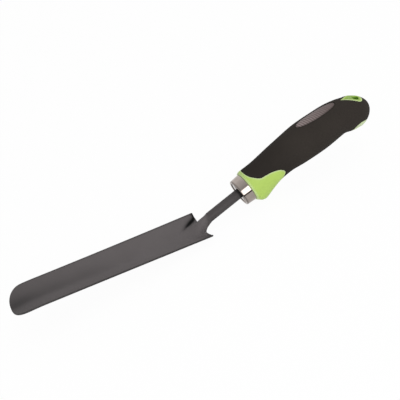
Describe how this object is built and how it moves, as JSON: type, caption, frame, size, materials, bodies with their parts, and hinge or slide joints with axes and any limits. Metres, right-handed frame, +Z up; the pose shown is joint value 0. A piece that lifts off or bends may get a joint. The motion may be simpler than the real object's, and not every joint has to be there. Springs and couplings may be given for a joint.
{
  "type": "hand trowel",
  "caption": "Narrow transplanting hand trowel with a dark grey trough blade, round stem, plated ferrule and a contoured lime and black soft-grip handle with a hang hole.",
  "frame": {"origin": "middle of the tool's box, on the bench it lies on", "axes": "+X from the blade's tip towards the butt of the handle, +Y across the blade, +Z up from the bench; the concave side of the blade faces up"},
  "size_m": [0.34, 0.0392, 0.0503],
  "materials": {
    "coated_steel": "satin powder coat",
    "plating": "bright plated",
    "lime_plastic": "satin",
    "black_grip": "matte",
    "badge_grey": "satin"
  },
  "bodies": {
    "root": {"blade": "coated_steel", "stem": "coated_steel", "ferrule": "plating", "handle_core": "lime_plastic", "grip_sleeve": "black_grip", "badge": "badge_grey"}
  },
  "joints": []
}
